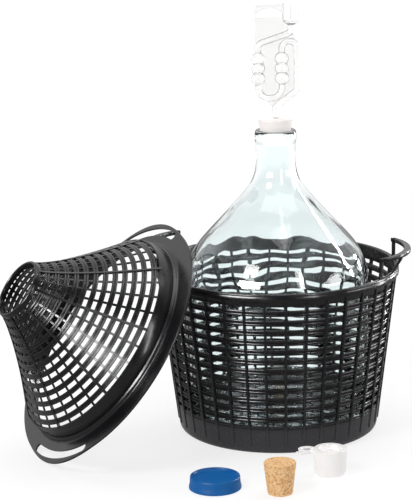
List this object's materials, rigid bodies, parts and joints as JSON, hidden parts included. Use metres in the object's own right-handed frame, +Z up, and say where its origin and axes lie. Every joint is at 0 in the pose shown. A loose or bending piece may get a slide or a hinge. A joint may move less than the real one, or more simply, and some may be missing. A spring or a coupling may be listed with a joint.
{
  "type": "glass carboy with basket and lid",
  "caption": "Round glass carboy standing in an openwork plastic basket, with bored bung, bubbler airlock, leaning cone lid and loose closures for fermenting wine or beer.",
  "frame": {"origin": "centre of the basket's underside, on the surface it stands on", "axes": "+Z up along the bottle's axis; +X towards one of the basket's two grab handles; the loose closures lie towards -Y"},
  "size_m": [0.5122, 0.4496, 0.5585],
  "materials": {
    "basket_plastic": "black polypropylene, satin",
    "bottle_glass": "clear blown glass with a faint green tint",
    "lid_plastic": "black polypropylene, satin",
    "bung_rubber": "off-white rubber, matt",
    "airlock_plastic": "clear moulded plastic",
    "cap_plastic": "blue polyethylene, soft gloss",
    "cork_wood": "agglomerated cork",
    "stopper_plastic": "white polyethylene"
  },
  "bodies": {
    "basket": {"basket": "basket_plastic"},
    "bottle": {"bottle": "bottle_glass"},
    "bung": {"bung": "bung_rubber"},
    "airlock": {"airlock": "airlock_plastic"},
    "lid": {"cone_lid": "lid_plastic"},
    "push_cap": {"push_cap": "cap_plastic"},
    "cork": {"cork": "cork_wood"},
    "plug_stopper": {"plug_stopper": "stopper_plastic"}
  },
  "joints": [
    {"name": "bottle_lift", "type": "slide", "parent": "basket", "child": "bottle", "axis": [0, 0, 1], "range_m": [0, 0.25]},
    {"name": "bung_pull", "type": "slide", "parent": "bottle", "child": "bung", "axis": [0, 0, 1], "range_m": [0, 0.06]},
    {"name": "airlock_pull", "type": "slide", "parent": "bung", "child": "airlock", "axis": [0, 0, 1], "range_m": [0, 0.06]},
    {"name": "lid_lift", "type": "slide", "parent": "basket", "child": "lid", "axis": [0, 0, 1], "range_m": [0, 0.2]},
    {"name": "cap_lift", "type": "slide", "parent": "basket", "child": "push_cap", "axis": [0, 0, 1], "range_m": [0, 0.08]},
    {"name": "cork_lift", "type": "slide", "parent": "basket", "child": "cork", "axis": [0, 0, 1], "range_m": [0, 0.08]},
    {"name": "plug_lift", "type": "slide", "parent": "basket", "child": "plug_stopper", "axis": [0, 0, 1], "range_m": [0, 0.08]}
  ]
}
